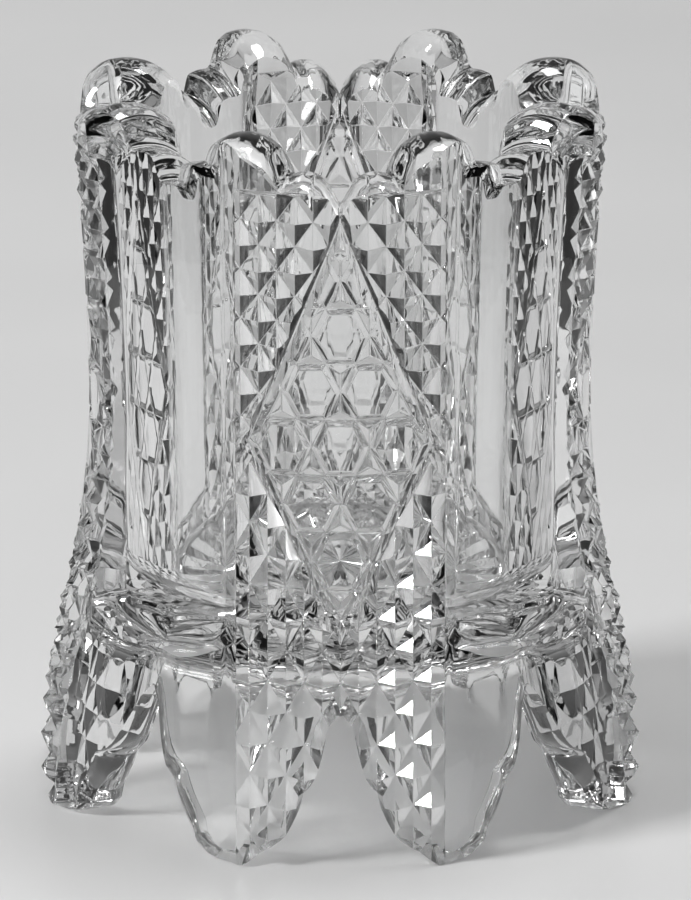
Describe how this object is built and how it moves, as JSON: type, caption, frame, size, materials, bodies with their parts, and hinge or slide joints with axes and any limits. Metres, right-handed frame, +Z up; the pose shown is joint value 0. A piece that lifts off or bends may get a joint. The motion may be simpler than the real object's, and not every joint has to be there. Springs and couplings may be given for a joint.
{
  "type": "toothpick holder",
  "caption": "Small footed holder in clear pressed glass: round well, scalloped rim, raised panels of diamond points with hexagon buttons between plain panels, and pointed lobed feet.",
  "frame": {"origin": "on the table, under the middle of the holder", "axes": "+Z up the well, -Y towards the middle of the front cut panel, +X towards the right cut panel"},
  "size_m": [0.0518, 0.0518, 0.062],
  "materials": {
    "glass": "fire polished"
  },
  "bodies": {
    "root": {"cup": "glass", "front_cut_panel": "glass", "front_panel_left_foot": "glass", "front_panel_right_foot": "glass", "right_cut_panel": "glass", "right_panel_left_foot": "glass", "right_panel_right_foot": "glass", "back_cut_panel": "glass", "back_panel_left_foot": "glass", "back_panel_right_foot": "glass", "left_cut_panel": "glass", "left_panel_left_foot": "glass", "left_panel_right_foot": "glass"}
  },
  "joints": []
}
